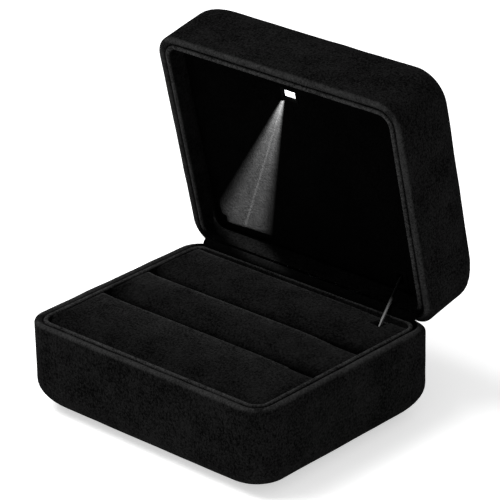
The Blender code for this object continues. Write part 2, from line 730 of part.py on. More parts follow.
def build_lamp(lid):
    """Bezel, lens, two LED chips and their board."""
    width, height = LAMP_WINDOW
    clear = 0.1 * MM
    frame_width, frame_height = width + 2 * LAMP_BEZEL, height + 2 * LAMP_BEZEL
    bezel = add_part("led_bezel", centred_box(LAMP_CENTRE, frame_width, frame_height,
                                              PANEL_FRONT - GUIDE_FLANGE, LAMP_BOARD_FRONT - clear),
                     "black_plastic", lid, smooth=False)
    combine(bezel, centred_box(LAMP_CENTRE, width, height, PANEL_FRONT - MM, LAMP_BOARD_FRONT + MM))
    lens_front = PANEL_FRONT + LAMP_RECESS
    add_part("led_lens", centred_box(LAMP_CENTRE, width - 2 * clear, height - 2 * clear,
                                     lens_front, lens_front + 0.6 * MM), "lamp_lens", lid, smooth=False)
    for name, side in (("led_chip_left", -1), ("led_chip_right", 1)):
        centre = LAMP_CENTRE + Vector((side * CHIP_SPREAD, 0, 0))
        add_part(name, centred_box(centre, *CHIP_SIZE, LAMP_BOARD_FRONT - 0.85 * MM,
                                   LAMP_BOARD_FRONT - 0.05 * MM), "lamp_chip", lid, smooth=False)
    add_part("led_board", centred_box(LAMP_CENTRE + Vector((0, 2.4 * MM, 0)), 18 * MM, 11 * MM,
                                      LAMP_BOARD_FRONT, LAMP_BOARD_FRONT + MM),
             "circuit_board", lid, smooth=False)


def build_battery(lid):
    """Holder behind the panel, the coin cell in it, and the contact clip over the cell."""
    floor = PANEL_BACK + GAP
    cell_low = floor + 1.2 * MM
    wall_top = cell_low + CELL_THICKNESS - 0.8 * MM
    side = 2 * CELL_RADIUS + 3 * MM
    holder = add_part("battery_holder", centred_box(CELL_CENTRE, side, side, floor, wall_top),
                      "black_plastic", lid, smooth=False)
    pocket_low = CELL_CENTRE + Vector((0, 0, cell_low - 0.1 * MM))
    pocket_high = CELL_CENTRE + Vector((0, 0, wall_top + MM))
    combine(holder, rod_mesh(pocket_low, pocket_high, CELL_RADIUS + GAP, 32))
    add_part("coin_cell", rod_mesh(CELL_CENTRE + Vector((0, 0, cell_low)),
                                   CELL_CENTRE + Vector((0, 0, cell_low + CELL_THICKNESS)),
                                   CELL_RADIUS, 32), "steel", lid)
    clip_low = cell_low + CELL_THICKNESS + 0.1 * MM
    outer = side / 2 + 0.2 * MM
    sheet = 0.4 * MM
    right = CELL_CENTRE.x + outer
    outline = [(CELL_CENTRE.x - 6 * MM, clip_low), (right, clip_low), (right, floor + 0.2 * MM),
               (right + sheet, floor + 0.2 * MM), (right + sheet, clip_low + sheet),
               (CELL_CENTRE.x - 6 * MM, clip_low + sheet)]

    def build(shape):
        rows = [[shape.verts.new((x, CELL_CENTRE.y + half, z)) for x, z in outline]
                for half in (-3 * MM, 3 * MM)]
        count = len(outline)
        for index in range(count):
            following = (index + 1) % count
            shape.faces.new((rows[0][index], rows[0][following], rows[1][following], rows[1][index]))
        shape.faces.new(rows[0])
        shape.faces.new(rows[1])

    add_part("battery_clip", mesh_from(build), "steel", lid, smooth=False)


def build_switch(lid, plunger_frame):
    """The guide that the rod slides in, the switch on top of it and its plunger."""
    low, high = guide_extent(0)
    guide_bottom = PANEL_FRONT - GUIDE_FLANGE
    guide = add_part("rod_guide", box_mesh((*low, guide_bottom), (*high, GUIDE_TOP)),
                     "black_plastic", lid, smooth=False)
    half_slot = PLUNGER_RADIUS + 0.2 * MM
    combine(guide, box_mesh((ROD_X - half_slot, low[1] + GUIDE_WALL, guide_bottom - MM),
                            (ROD_X + half_slot, high[1] - GUIDE_WALL, GUIDE_TOP + MM)))
    axis = Vector((ROD_X, ROD_PIVOT_Y, 0))
    body_low = GUIDE_TOP + GAP
    body = add_part("switch_body", centred_box(axis, SWITCH_SIDE, SWITCH_SIDE, body_low,
                                               body_low + SWITCH_HEIGHT),
                    "black_plastic", lid, smooth=False)
    bore_top = body_low + SWITCH_BORE_DEPTH
    combine(body, rod_mesh(axis + Vector((0, 0, body_low - MM)), axis + Vector((0, 0, bore_top)),
                           PLUNGER_RADIUS + 0.2 * MM))
    plunger = rod_mesh(axis + Vector((0, 0, PLUNGER_TIP)),
                       axis + Vector((0, 0, bore_top - PLUNGER_TRAVEL - GAP)), PLUNGER_RADIUS)
    add_part("switch_plunger", plunger, "black_plastic", plunger_frame)


def smooth_route(corners, steps=4):
    """Points on a Catmull-Rom curve through a few corners."""
    padded = [corners[0]] + corners + [corners[-1]]
    route = []
    for before, start, end, after in zip(padded, padded[1:], padded[2:], padded[3:]):
        for step in range(steps):
            t = step / steps
            route.append(0.5 * (2 * start + (end - before) * t
                                + (2 * before - 5 * start + 4 * end - after) * t ** 2
                                + (3 * start - before - 3 * end + after) * t ** 3))
    return route + [corners[-1]]


def build_wires(lid):
    """Three short leads behind the panel, each clipped between two pieces."""
    lamp_edge = LAMP_CENTRE.y + 8.3 * MM
    lamp_z = LAMP_BOARD_FRONT + 0.5 * MM
    holder_front = CELL_CENTRE.y - CELL_RADIUS - 1.9 * MM
    holder_z = PANEL_BACK + 1.5 * MM
    switch_side = ROD_X - 3.4 * MM
    switch_z = GUIDE_TOP + 2.8 * MM
    clip_side = CELL_CENTRE.x + CELL_RADIUS + 2.6 * MM
    routes = {
        "wire_battery_to_lamp": ("black_wire", [
            Vector((-6 * MM, holder_front, holder_z)),
            Vector((-7.2 * MM, (holder_front + lamp_edge) / 2, holder_z + 0.6 * MM)),
            Vector((-6 * MM, lamp_edge, lamp_z))]),
        "wire_battery_to_switch": ("red_wire", [
            Vector((clip_side, 4 * MM, holder_z)), Vector((clip_side + 6 * MM, 8 * MM, holder_z + MM)),
            Vector((switch_side - 6 * MM, 22 * MM, switch_z - 3 * MM)),
            Vector((switch_side, 25 * MM, switch_z))]),
        "wire_switch_to_lamp": ("red_wire", [
            Vector((switch_side, 27 * MM, switch_z + 1.2 * MM)),
            Vector((switch_side - 4 * MM, 24 * MM, switch_z + MM)),
            Vector((21 * MM, 5 * MM, holder_z + 2 * MM)), Vector((16 * MM, -12 * MM, lamp_z)),
            Vector((8 * MM, lamp_edge + 1.5 * MM, lamp_z)), Vector((6 * MM, lamp_edge, lamp_z))]),
    }
    for name, (finish, corners) in routes.items():
        add_part(name, tube_mesh(smooth_route(corners), WIRE_RADIUS), finish, lid)


def build_box():
    """Build every piece on its frame, the lid closed, then leave the lid open."""
    base = add_frame("base_frame", (0, 0, 0))
    lid = add_frame("lid_frame", HINGE_AXIS)
    rod_frame = add_frame("rod_frame", ROD_PIVOT)
    plunger_frame = add_frame("plunger_frame", (ROD_X, ROD_PIVOT_Y, PLUNGER_TIP), parent=lid)
    build_base_halves(base)
    build_insert(base)
    build_lid_halves(lid)
    build_panel(lid)
    build_hinge(base, lid)
    build_rod_bracket(base)
    build_switch_rod(rod_frame)
    build_lamp(lid)
    build_battery(lid)
    build_switch(lid, plunger_frame)
    build_wires(lid)
    lid.rotation_euler = (-OPEN_ANGLE, 0, 0)
    rod_frame.rotation_euler = (ROD_REST_TURN, 0, 0)


clear_scene()
PARTS = make_collection("Ring_Box")
CUTTERS = make_collection("Cutters")
build_box()
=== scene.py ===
"""Looks of the ring box: black velvet inside and out, a lit lamp in the lid, soft studio light.

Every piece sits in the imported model's frame, in metres. The lid's pieces are drawn as if the lid were
shut, and are then turned open about the hinge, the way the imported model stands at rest.
"""

import json
import math

import bmesh
import bpy
import numpy as np
from mathutils import Matrix, Vector, noise


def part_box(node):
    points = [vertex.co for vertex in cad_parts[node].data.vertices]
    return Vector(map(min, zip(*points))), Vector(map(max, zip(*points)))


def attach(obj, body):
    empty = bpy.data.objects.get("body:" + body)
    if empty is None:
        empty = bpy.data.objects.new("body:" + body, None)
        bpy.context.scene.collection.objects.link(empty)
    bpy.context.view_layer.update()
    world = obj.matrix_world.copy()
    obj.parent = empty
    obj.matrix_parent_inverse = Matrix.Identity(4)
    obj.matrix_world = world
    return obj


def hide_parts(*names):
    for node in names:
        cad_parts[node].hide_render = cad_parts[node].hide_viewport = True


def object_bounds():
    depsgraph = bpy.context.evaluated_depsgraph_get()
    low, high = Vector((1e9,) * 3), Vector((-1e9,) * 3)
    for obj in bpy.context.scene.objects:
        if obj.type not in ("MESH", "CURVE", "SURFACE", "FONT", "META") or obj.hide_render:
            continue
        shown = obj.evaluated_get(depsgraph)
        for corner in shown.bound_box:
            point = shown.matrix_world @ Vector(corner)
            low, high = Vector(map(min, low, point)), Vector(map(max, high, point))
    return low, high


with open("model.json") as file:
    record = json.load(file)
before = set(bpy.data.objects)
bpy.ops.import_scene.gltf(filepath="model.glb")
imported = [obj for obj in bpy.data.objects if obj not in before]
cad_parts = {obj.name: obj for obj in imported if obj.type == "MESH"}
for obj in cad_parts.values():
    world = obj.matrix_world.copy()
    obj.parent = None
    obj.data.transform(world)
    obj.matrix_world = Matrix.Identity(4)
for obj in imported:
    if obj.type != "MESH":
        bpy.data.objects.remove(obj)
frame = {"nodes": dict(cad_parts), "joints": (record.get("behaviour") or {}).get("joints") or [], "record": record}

CAD_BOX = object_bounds()
MM = 0.001

# ---- the box's own sizes, from the frame --------------------------------------------------------

JOINTS = {joint["name"]: joint for joint in frame["joints"]}
HINGE = Vector(JOINTS["lid_hinge"]["pos_m"])
OPEN_ANGLE = math.radians(JOINTS["lid_hinge"]["range_deg"][1])
LID_OPEN = Matrix.Translation(HINGE) @ Matrix.Rotation(-OPEN_ANGLE, 4, "X") @ Matrix.Translation(-HINGE)


def shut_box(node):
    """Lowest and highest corner of a lid node, with the lid shut."""
    to_shut = LID_OPEN.inverted()
    corners = np.array([to_shut @ vertex.co for vertex in frame["nodes"][node].data.vertices])
    return Vector(corners.min(axis=0)), Vector(corners.max(axis=0))


BASE_LOW, BASE_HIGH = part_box("base_cover")
LID_LOW, LID_HIGH = shut_box("lid_cover")
WIDTH = BASE_HIGH.x - BASE_LOW.x
DEPTH = BASE_HIGH.y - BASE_LOW.y
SHUT_TOP = LID_HIGH.z
BASE_RIM = BASE_HIGH.z
LID_RIM = SHUT_TOP - LID_LOW.z
RIM_GAP = LID_LOW.z - HINGE.z

# ---- how the velvet is laid on it ---------------------------------------------------------------

CORNER_RADIUS = 7.1 * MM
CORNER_GROWTH = 0.55
SMALLEST_CORNER = 0.7 * MM
BASE_FILLET = 8.7 * MM
LID_FILLET = 10 * MM
VELVET = 0.55 * MM
RIM_BEAD = 0.95 * MM
RIM_BEAD_END = math.radians(128)
RIM_FLAT_DROP = 0.35 * MM
SEAM_INSET = 2.15 * MM
SEAM_DEPTH = 1.6 * MM
SEAM_EDGE_WIDTH = 0.25 * MM
SEAM_EDGE_DROP = 0.2 * MM
LIP_OUTSIDE = 2.4 * MM
LIP_INSIDE = 3.8 * MM
REAR_LINER_FACE = DEPTH / 2 - 5.1 * MM
RELIEF_ANGLE = OPEN_ANGLE / 2 + math.radians(0.7)
RELIEF_CLEARANCE = 0.12 * MM
RIM_RELIEF = 2.9 * MM
BARREL_ROOM = 1.5 * MM
BARREL_END_ROOM = 0.4 * MM
STRIP_ROOM = 2.2 * MM
REAR_LIP_HALF = 0.6 * MM
LID_TOP_CORE = 0.5 * MM
UNDERSIDE_OPENING = 16 * MM

PLATE_GAP = 0.3 * MM
PLATE_EDGE_WIDTH = 0.3 * MM
PLATE_EDGE = [(0.25 * MM, 0.55 * MM), (0.05 * MM, 0.4 * MM), (0.0, 0.25 * MM), (0.08 * MM, 0.08 * MM),
              (PLATE_EDGE_WIDTH, 0.0)]
PLATE_CROWN = 0.12 * MM
PLATE_CROWN_WIDTH = 17 * MM
PLATE_STEPS = 8
STRIP_THICKNESS = 0.5 * MM
STRIP_START = math.radians(112)
STRIP_END = math.radians(248)
STRIP_ARC_STEPS = 16
STRIP_STEPS = 60

# painted shade on the lid's lining towards its back, by the hinge
REAR_SHADE_START = REAR_LINER_FACE - 3 * MM
REAR_SHADE_REACH = 2 * MM
# painted sheen highlights, on the rims' beads and flats and on the linings' lips
BEAD_HIGHLIGHT_INSET = 1.7 * MM
BEAD_HIGHLIGHT_DEPTH = 1.1 * MM
FLAT_HIGHLIGHT = 0.25
LIP_HIGHLIGHT = 0.6
LIP_HIGHLIGHT_DEPTH = 0.7 * MM

RIPPLE_DEPTH = 0.1 * MM
RIPPLE_SIZE = 7 * MM
QUIET_RADIUS = 4 * MM
QUIET_REACH = 6 * MM
QUIET_HEIGHT = 3 * MM

LONG_SIDE_STEPS = 60
SHORT_SIDE_STEPS = 48
CORNER_STEPS = 14
ARC_STEPS = 12
WALL_STEPS = 10
LINING_STEPS = 12
RELIEF_STEPS = 5
UNDERSIDE_STEPS = 10
LID_TOP_STEPS = 24


# ---- meshes from rows of points -----------------------------------------------------------------

def section(draw_in, offset, rear=None):
    """One level outline of the box, a rounded rectangle, as (x, y) pairs anticlockwise.

    draw_in is how far the outer form has drawn in over an edge, which opens its corners as well, and
    offset is how far inside that form the outline runs. rear limits how far back it reaches.
    """
    inset = draw_in + offset
    half_width = WIDTH / 2 - inset
    front = -DEPTH / 2 + inset
    back = DEPTH / 2 - inset
    if rear is not None:
        back = min(back, rear)
    radius = max(CORNER_RADIUS + CORNER_GROWTH * draw_in - offset, SMALLEST_CORNER)
    radius = min(radius, half_width, (back - front) / 2)
    corners = [(1, back - radius), (-1, back - radius), (-1, front + radius), (1, front + radius)]
    arcs = []
    for quarter, (side, centre_y) in enumerate(corners):
        centre_x = side * (half_width - radius)
        turns = [math.radians(90) * (quarter + step / CORNER_STEPS) for step in range(CORNER_STEPS + 1)]
        arcs.append([(centre_x + radius * math.cos(turn), centre_y + radius * math.sin(turn))
                     for turn in turns])
    outline = []
    for number, arc in enumerate(arcs):
        outline += arc
        start, end = arc[-1], arcs[(number + 1) % 4][0]
        steps = LONG_SIDE_STEPS if number % 2 == 0 else SHORT_SIDE_STEPS
        for step in range(1, steps):
            share = step / steps
            outline.append((start[0] + (end[0] - start[0]) * share, start[1] + (end[1] - start[1]) * share))
    return outline


def base_row(draw_in, offset, height, rear=None):
    """A section of the base, at a height above its underside."""
    return [Vector((x, y, height)) for x, y in section(draw_in, offset, rear)]


def lid_row(draw_in, offset, height, rear=None):
    """A section of the shut lid, at a distance below its top."""
    return [Vector((x, y, SHUT_TOP - height)) for x, y in section(draw_in, offset, rear)]


def skin(rows, ring=False):
    """A closed mesh over rows of points. A ring joins its last row to its first, others get caps."""
    count = len(rows[0])
    pairs = list(zip(range(len(rows)), range(1, len(rows))))
    if ring:
        pairs.append((len(rows) - 1, 0))
    faces = []
    for lower, upper in pairs:
        for index in range(count):
            following = (index + 1) % count
            faces.append((lower * count + index, lower * count + following,
                          upper * count + following, upper * count + index))
    if not ring:
        faces.append(tuple(range(count)))
        faces.append(tuple(range((len(rows) - 1) * count, len(rows) * count)))
    mesh = bpy.data.meshes.new("skin")
    mesh.from_pydata([point for row in rows for point in row], [], faces)
    shape = bmesh.new()
    shape.from_mesh(mesh)
    caps = [face for face in shape.faces if len(face.verts) > 4]
    bmesh.ops.triangulate(shape, faces=caps)
    bmesh.ops.recalc_face_normals(shape, faces=shape.faces)
    shape.to_mesh(mesh)
    shape.free()
    return mesh


def ripple(mesh, seed, fade):
    """Move each point along its normal by a cover's smooth ripple, less where fade says so."""
    shift = Vector((seed, 1.7 * seed, 0.6 * seed))
    normals = [vertex.normal.copy() for vertex in mesh.vertices]
    for vertex, normal in zip(mesh.vertices, normals):
        strength = RIPPLE_DEPTH * fade(vertex.co)
        vertex.co += normal * strength * noise.noise(vertex.co / RIPPLE_SIZE + shift)


def add_object(name, data):
    """A new object in the scene for a mesh, light or camera."""
    item = bpy.data.objects.new(name, data)
    bpy.context.scene.collection.objects.link(item)
    return item


def add_piece(name, mesh, material, body, nodes):
    """Make a visible piece that rides on a body and stands for CAD nodes."""
    mesh.name = name
    piece = add_object(name, mesh)
    mesh.materials.clear()
    mesh.materials.append(material)
    mesh.shade_smooth()
    if body == "lid":
        mesh.transform(LID_OPEN)
    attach(piece, body)
    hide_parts(*nodes)
    return piece


def applied(mesh, add_modifiers):
    """The mesh with a few modifiers applied, which add_modifiers sets up on a passing object."""
    carrier = add_object("carrier", mesh)
    add_modifiers(carrier)
    evaluated = carrier.evaluated_get(bpy.context.evaluated_depsgraph_get())
    result = bpy.data.meshes.new_from_object(evaluated)
    bpy.data.objects.remove(carrier)
    return result


def cut(mesh, cutter_mesh):
    """The mesh less the cutter, by an exact Boolean."""
    cutter = add_object("cutter", cutter_mesh)

    def add_modifiers(carrier):
        modifier = carrier.modifiers.new("cut", "BOOLEAN")
        modifier.operation = "DIFFERENCE"
        modifier.solver = "EXACT"
        modifier.object = cutter

    result = applied(mesh, add_modifiers)
    bpy.data.objects.remove(cutter)
    return result


def mark(mesh, name, amount):
    """Store a value from 0 to 1 at each point, which the velvet reads by its name.

    Where a mesh is marked for a painted sheen highlight the velvet looks lighter, and where it is marked
    for painted shade it stays dark.
    """
    attribute = mesh.attributes.new(name, "FLOAT", "POINT")
    attribute.data.foreach_set("value", [amount(vertex.co) for vertex in mesh.vertices])
    return mesh


def bump_of(distance, width):
    """1 at no distance, falling smoothly to 0 at a width."""
    return max(0.0, 1 - (distance / width) ** 2) ** 2


def climb(value, start, length):
    """0 up to a start, then rising evenly to 1 over a length."""
    return min(max((value - start) / length, 0), 1)


def block_mesh(low, high, margin):
    """A block between two corners, grown by a margin, for cutting."""
    size = high - low + 2 * Vector((margin, margin, margin))
    shape = bmesh.new()
    bmesh.ops.create_cube(shape, size=1,
                          matrix=Matrix.Translation((low + high) / 2) @ Matrix.Diagonal((*size, 1)))
    mesh = bpy.data.meshes.new("block")
    shape.to_mesh(mesh)
    shape.free()
    return mesh


# ---- materials ----------------------------------------------------------------------------------

class Nodes:
    """A material's node tree, with short calls to add and join its nodes."""

    def __init__(self, name):
        self.material = bpy.data.materials.new(name)
        self.material.use_nodes = True
        self.tree = self.material.node_tree
        self.shader = self.tree.nodes["Principled BSDF"]
        self.place = self.add("ShaderNodeTexCoord").outputs["Object"]

    def add(self, kind, **settings):
        """A new node with its properties set."""
        node = self.tree.nodes.new(kind)
        for key, value in settings.items():
            setattr(node, key, value)
        return node

    def join(self, output, socket):
        """Link an output to an input."""
        self.tree.links.new(output, socket)

    def set(self, **values):
        """Set the shader's own sockets, named with underscores for spaces."""
        for key, value in values.items():
            self.shader.inputs[key.replace("_", " ")].default_value = value

    def grain(self, size, detail=2.0, stretch=(1, 1, 1), rough=0.5):
        """Noise with features of about this size in metres, stretched along an axis if asked."""
        mapping = self.add("ShaderNodeMapping")
        mapping.inputs["Scale"].default_value = [1 / (size * share) for share in stretch]
        self.join(self.place, mapping.inputs["Vector"])
        texture = self.add("ShaderNodeTexNoise")
        texture.inputs["Scale"].default_value = 1.0
        texture.inputs["Detail"].default_value = detail
        texture.inputs["Roughness"].default_value = rough
        self.join(mapping.outputs["Vector"], texture.inputs["Vector"])
        return texture.outputs["Fac"]

    def mix(self, first, second, share=0.5):
        """A weighted mean of two values."""
        node = self.add("ShaderNodeMix", data_type="FLOAT")
        node.inputs[0].default_value = share
        self.join(first, node.inputs[2])
        self.join(second, node.inputs[3])
        return node.outputs[0]

    def marked(self, plain, special, name):
        """One colour, turning into another where the mesh is marked with a name."""
        mark_node = self.add("ShaderNodeAttribute", attribute_name=name)
        node = self.add("ShaderNodeMix", data_type="RGBA")
        self.join(mark_node.outputs["Fac"], node.inputs[0])
        self.join(plain, node.inputs[6])
        self.join(special, node.inputs[7])
        return node.outputs[2]

    def ramp(self, value, stops):
        """Colours along a value, given as (position, colour) stops."""
        node = self.add("ShaderNodeValToRGB")
        fill_ramp(node.color_ramp, stops)
        self.join(value, node.inputs["Fac"])
        return node.outputs["Color"]

    def along(self, axis, start, end):
        """A value that goes from 0 to 1 between two places on an axis."""
        split = self.add("ShaderNodeSeparateXYZ")
        self.join(self.place, split.inputs["Vector"])
        node = self.add("ShaderNodeMapRange")
        node.inputs["From Min"].default_value = start
        node.inputs["From Max"].default_value = end
        self.join(split.outputs[axis], node.inputs["Value"])
        return node.outputs["Result"]

    def span(self, value, low, high):
        """A value from 0 to 1 laid between two numbers."""
        node = self.add("ShaderNodeMapRange")
        node.inputs["To Min"].default_value = low
        node.inputs["To Max"].default_value = high
        self.join(value, node.inputs["Value"])
        return node.outputs["Result"]

    def bump(self, height, depth, strength=1.0, under=None):
        """Relief of a depth in metres, on top of an earlier relief if given."""
        node = self.add("ShaderNodeBump")
        node.inputs["Strength"].default_value = strength
        node.inputs["Distance"].default_value = depth
        self.join(height, node.inputs["Height"])
        if under is not None:
            self.join(under, node.inputs["Normal"])
        return node.outputs["Normal"]


def fill_ramp(ramp, stops):
    """Give a colour ramp its (position, colour) stops."""
    while len(ramp.elements) < len(stops):
        ramp.elements.new(0.5)
    for element, (position, colour) in zip(ramp.elements, stops):
        element.position = position
        element.color = (*colour, 1)


def grey(level):
    """A neutral colour."""
    return (level, level, level)


def velvet(name, dark, light, sheen_highlight_level, sheen, relief_share=1.0, pile=0.6 * MM):
    """Short black pile with fine tufts and patches, with a painted sheen highlight and painted shade where marked.

    dark and light are grey levels between the tufts and on them; the level after them is the grey under the
    painted sheen highlight.
    """
    nodes = Nodes(name)
    tufts = nodes.grain(pile, detail=4, rough=0.75)
    fibres = nodes.grain(0.3 * MM, detail=1, stretch=(1, 1, 2.5))
    patches = nodes.grain(9 * MM, detail=3, rough=0.6)
    tone = nodes.mix(nodes.mix(tufts, fibres, 0.25), patches, 0.2)
    lying = nodes.ramp(tone, [(0.42, grey(dark)), (0.6, grey(light))])
    # painted sheen highlight: a lighter grey where the mesh is marked for it
    sheen_highlight_grey = nodes.ramp(tone, [(0.4, grey(light)), (0.62, grey(sheen_highlight_level))])
    # painted shade: a far darker grey where the mesh is marked for it
    deep = nodes.ramp(tone, [(0.42, grey(dark / 4)), (0.6, grey(light / 5))])
    colour = nodes.marked(nodes.marked(lying, sheen_highlight_grey, "brushed"), deep, "sheltered")
    nodes.join(colour, nodes.shader.inputs["Base Color"])
    nodes.join(nodes.span(patches, 0.82, 0.98), nodes.shader.inputs["Roughness"])
    relief = nodes.bump(patches, 0.25 * MM, 0.35 * relief_share)
    relief = nodes.bump(tufts, 0.12 * MM, 0.9 * relief_share, under=relief)
    nodes.join(nodes.bump(fibres, 0.05 * MM, 0.6 * relief_share, under=relief),
               nodes.shader.inputs["Normal"])
    nodes.set(Specular_IOR_Level=0.0, Sheen_Weight=sheen, Sheen_Roughness=0.35,
              Sheen_Tint=(0.8, 0.8, 0.816, 1))
    return nodes.material


def moulded_plastic(name, level, roughness, gloss):
    """Moulded plastic of a grey level, with a fine spark-eroded surface."""
    nodes = Nodes(name)
    fine = nodes.grain(0.12 * MM, detail=2)
    broad = nodes.grain(5 * MM, detail=2)
    nodes.join(nodes.ramp(nodes.mix(fine, broad), [(0.35, grey(level * 0.75)), (0.65, grey(level * 1.25))]),
               nodes.shader.inputs["Base Color"])
    nodes.join(nodes.span(broad, roughness - 0.08, roughness + 0.1), nodes.shader.inputs["Roughness"])
    nodes.join(nodes.bump(fine, 0.02 * MM, 0.5), nodes.shader.inputs["Normal"])
    nodes.set(Specular_IOR_Level=gloss)
    return nodes.material


def grey_card(name):
    """Grey board with pressed fibres and flecks."""
    nodes = Nodes(name)
    fibres = nodes.grain(0.5 * MM, detail=5, stretch=(3, 1, 1), rough=0.7)
    flecks = nodes.grain(1.6 * MM, detail=2)
    colour = nodes.ramp(nodes.mix(fibres, flecks), [(0.3, (0.12, 0.105, 0.09)), (0.7, (0.26, 0.235, 0.2))])
    nodes.join(colour, nodes.shader.inputs["Base Color"])
    nodes.join(nodes.bump(fibres, 0.06 * MM, 0.6), nodes.shader.inputs["Normal"])
    nodes.set(Roughness=0.92, Specular_IOR_Level=0.2)
    return nodes.material


def drawn_steel(name):
    """Bright steel with drawing marks along X and Z, and faint cloudiness."""
    nodes = Nodes(name)
    marks = nodes.grain(0.06 * MM, detail=3, stretch=(1, 1, 30))
    clouds = nodes.grain(2 * MM, detail=3)
    nodes.join(nodes.ramp(nodes.mix(marks, clouds), [(0.3, (0.42, 0.42, 0.43)), (0.7, (0.66, 0.66, 0.67))]),
               nodes.shader.inputs["Base Color"])
    nodes.join(nodes.span(marks, 0.22, 0.42), nodes.shader.inputs["Roughness"])
    nodes.join(nodes.bump(marks, 0.01 * MM, 0.5), nodes.shader.inputs["Normal"])
    nodes.set(Metallic=1.0)
    return nodes.material


def rod_painted_shade(name):
    """Drawn steel with painted shade, darker towards the upper end, which slides in the guide."""
    nodes = Nodes(name)
    marks = nodes.grain(0.08 * MM, detail=3, stretch=(1, 1, 20))
    # painted shade, from the steel's grey to near black going up
    upper_shade = nodes.along("Z", BASE_RIM - 0.5 * MM, BASE_RIM + 4.5 * MM)
    nodes.join(nodes.ramp(upper_shade, [(0.0, grey(0.34)), (1.0, grey(0.002))]),
               nodes.shader.inputs["Base Color"])
    nodes.join(nodes.span(marks, 0.25, 0.45), nodes.shader.inputs["Roughness"])
    nodes.join(nodes.bump(marks, 0.01 * MM, 0.5), nodes.shader.inputs["Normal"])
    nodes.set(Metallic=1.0, Specular_IOR_Level=0.0)
    return nodes.material


def solder_mask(name):
    """Green board with faint tracks under the mask."""
    nodes = Nodes(name)
    bricks = nodes.add("ShaderNodeTexBrick")
    bricks.inputs["Scale"].default_value = 1 / (1.4 * MM)
    bricks.inputs["Mortar Size"].default_value = 0.06
    bricks.inputs["Color1"].default_value = (0.012, 0.09, 0.035, 1)
    bricks.inputs["Color2"].default_value = (0.014, 0.105, 0.042, 1)
    bricks.inputs["Mortar"].default_value = (0.03, 0.19, 0.08, 1)
    nodes.join(nodes.place, bricks.inputs["Vector"])
    nodes.join(bricks.outputs["Color"], nodes.shader.inputs["Base Color"])
    nodes.join(nodes.bump(nodes.grain(0.3 * MM, detail=2), 0.01 * MM, 0.4), nodes.shader.inputs["Normal"])
    nodes.set(Roughness=0.28, Coat_Weight=0.3)
    return nodes.material


def clear_lens(name):
    """Frosted plastic, glowing over the chips and less in the line between them."""
    nodes = Nodes(name)
    frost = nodes.grain(0.1 * MM, detail=2)
    line = nodes.along("X", -0.3 * MM, 0.3 * MM)
    glow = nodes.ramp(line, [(0.0, grey(1.0)), (0.333, grey(0.15)), (0.667, grey(0.15)), (1.0, grey(1.0))])
    nodes.join(glow, nodes.shader.inputs["Emission Color"])
    nodes.join(nodes.span(frost, 0.03, 0.12), nodes.shader.inputs["Roughness"])
    nodes.join(nodes.bump(frost, 0.004 * MM, 0.4), nodes.shader.inputs["Normal"])
    nodes.set(Base_Color=(0.95, 0.97, 1.0, 1), Alpha=0.75, IOR=1.49, Emission_Strength=1.3)
    return nodes.material


def lit_chip(name, strength):
    """A lit LED under its phosphor, brightest at the middle of its grains."""
    nodes = Nodes(name)
    cells = nodes.add("ShaderNodeTexVoronoi")
    cells.inputs["Scale"].default_value = 1 / (0.5 * MM)
    nodes.join(nodes.place, cells.inputs["Vector"])
    colour = nodes.ramp(cells.outputs["Distance"], [(0.0, (1.0, 1.0, 1.0)), (1.0, (0.86, 0.9, 1.0))])
    nodes.join(colour, nodes.shader.inputs["Emission Color"])
    nodes.join(colour, nodes.shader.inputs["Base Color"])
    nodes.set(Emission_Strength=strength, Roughness=0.5)
    return nodes.material


def wire_skin(name, dark, light):
    """Soft insulation with slight colour variation."""
    nodes = Nodes(name)
    drift = nodes.grain(1.5 * MM, detail=3)
    nodes.join(nodes.ramp(drift, [(0.3, dark), (0.7, light)]), nodes.shader.inputs["Base Color"])
    nodes.join(nodes.span(drift, 0.35, 0.5), nodes.shader.inputs["Roughness"])
    nodes.join(nodes.bump(nodes.grain(0.2 * MM), 0.01 * MM, 0.4), nodes.shader.inputs["Normal"])
    return nodes.material


OUTER_VELVET = velvet("outer_velvet", 0.0012, 0.0105, 0.034, 0.012)
LINING_VELVET = velvet("lining_velvet", 0.0011, 0.0095, 0.07, 0.012)
PANEL_VELVET = velvet("panel_velvet", 0.0007, 0.0018, 0.004, 0.002, relief_share=0.25)
# steel with painted shade at its upper end, for the switch rod
SHADED_ROD = rod_painted_shade("rod_painted_shade")
FINISHES = {
    "shell_plastic": moulded_plastic("shell_plastic", 0.02, 0.5, 0.3),
    "black_plastic": moulded_plastic("black_plastic", 0.001, 0.7, 0.01),
    "card": grey_card("grey_card"),
    "steel": drawn_steel("drawn_steel"),
    "circuit_board": solder_mask("solder_mask"),
    "lamp_lens": clear_lens("clear_lens"),
    "lamp_chip": lit_chip("lit_chip", 5.0),
    "red_wire": wire_skin("red_insulation", (0.32, 0.008, 0.006), (0.5, 0.015, 0.012)),
    "black_wire": wire_skin("black_insulation", grey(0.008), grey(0.018)),
}


# ---- velvet covers and linings ------------------------------------------------------------------

def relief_limit(height, rim_height, offset):
    """The furthest back that a surface may reach at this height, so that the rims clear each other."""
    below_axis = rim_height + RIM_GAP - height
    slack = RELIEF_CLEARANCE + offset / math.cos(RELIEF_ANGLE)
    return HINGE.y + (below_axis - slack) / math.tan(RELIEF_ANGLE)


def closed_edge(row, fillet, offset):
    """Rows round the edge between the closed face and the wall."""
    rows = []
    for step in range(ARC_STEPS + 1):
        angle = math.radians(90) * step / ARC_STEPS
        height = fillet * (1 - math.cos(angle)) + offset * math.cos(angle)
        rows.append(row(fillet * (1 - math.sin(angle)), offset * math.sin(angle), height))
    return rows


def wall(row, low, high, offset):
    """Rows up the straight wall, between two heights and without either end."""
    return [row(0, offset, low + (high - low) * step / WALL_STEPS) for step in range(1, WALL_STEPS)]


